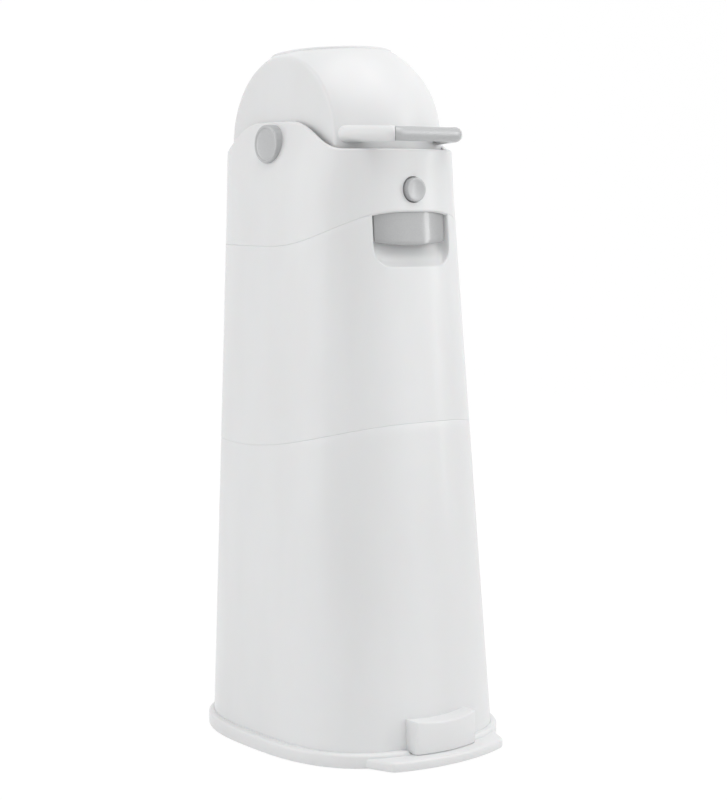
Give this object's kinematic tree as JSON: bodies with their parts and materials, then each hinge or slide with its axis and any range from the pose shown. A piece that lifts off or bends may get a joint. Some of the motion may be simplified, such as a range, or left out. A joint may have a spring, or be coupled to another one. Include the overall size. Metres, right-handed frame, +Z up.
{
  "type": "nappy bin",
  "caption": "Tall tapered nappy bin whose turning drum with a sliding piston drops a nappy into a bag; the head tips back after its lock button is pressed.",
  "frame": {"origin": "middle of the footprint on the floor, under the pads", "axes": "+Z up, -Y to the front where the foot plate is, +X to the right seen from behind the object's own back, that is to the viewer's right in front"},
  "size_m": [0.2588, 0.32, 0.7002],
  "materials": {
    "white_shell": "smooth gloss",
    "silver_plastic": "silver-grey satin gloss",
    "inner_plastic": "smooth satin",
    "grey_plastic": "satin",
    "seal_rubber": "matt",
    "steel": "zinc plated"
  },
  "bodies": {
    "bin": {"base_plate": "white_shell", "foot_pads": "seal_rubber", "base_screws": "steel", "foot_block": "white_shell", "foot_block_screws": "steel", "bucket": "white_shell", "middle_shell": "white_shell", "bag_collar": "inner_plastic", "collar_screws": "steel", "latch_keeper": "steel", "keeper_screws": "steel", "hinge_bracket": "white_shell", "bracket_screws": "steel", "hinge_pin": "steel"},
    "head": {"head_shell": "white_shell", "head_gasket": "seal_rubber", "drum_cradle": "inner_plastic", "throat_lip": "seal_rubber", "lift_grip": "silver_plastic", "grip_screws": "steel", "hinge_leaf": "white_shell", "leaf_screws": "steel", "pivot_pin_left": "steel", "pivot_pin_right": "steel", "pivot_cap_left": "silver_plastic", "pivot_cap_right": "silver_plastic", "button_guide": "grey_plastic", "latch_tongue": "grey_plastic", "button_spring": "steel"},
    "drum": {"drum_shell": "white_shell", "drum_tube": "inner_plastic", "mouth_ring_upper": "white_shell", "mouth_ring_lower": "white_shell", "hub_bush_left": "inner_plastic", "hub_bush_right": "inner_plastic", "handle_bow": "white_shell", "handle_grip": "silver_plastic"},
    "piston": {"piston_body": "inner_plastic", "piston_cover": "inner_plastic", "piston_weight": "steel", "piston_seal_upper": "seal_rubber", "piston_seal_lower": "seal_rubber"},
    "button": {"lock_button": "silver_plastic"}
  },
  "joints": [
    {"name": "head_open", "type": "hinge", "parent": "bin", "child": "head", "pos_m": [0, 0.1535, 0.504], "axis": [-1, 0, 0], "range_deg": [0, 95]},
    {"name": "drum_flip", "type": "hinge", "parent": "head", "child": "drum", "pos_m": [0, 0.03603, 0.603], "axis": [-1, 0, 0], "range_deg": [0, 171]},
    {"name": "piston_slide", "type": "slide", "parent": "drum", "child": "piston", "axis": [0, 0.0785, 0.9969], "range_m": [0, 0.1426]},
    {"name": "button_press", "type": "slide", "parent": "head", "child": "button", "axis": [0, 1, 0], "range_m": [0, 0.0035], "stiffness_N_per_m": 400, "springref_m": -0.002, "deforming": ["button_spring", "latch_tongue"]}
  ]
}
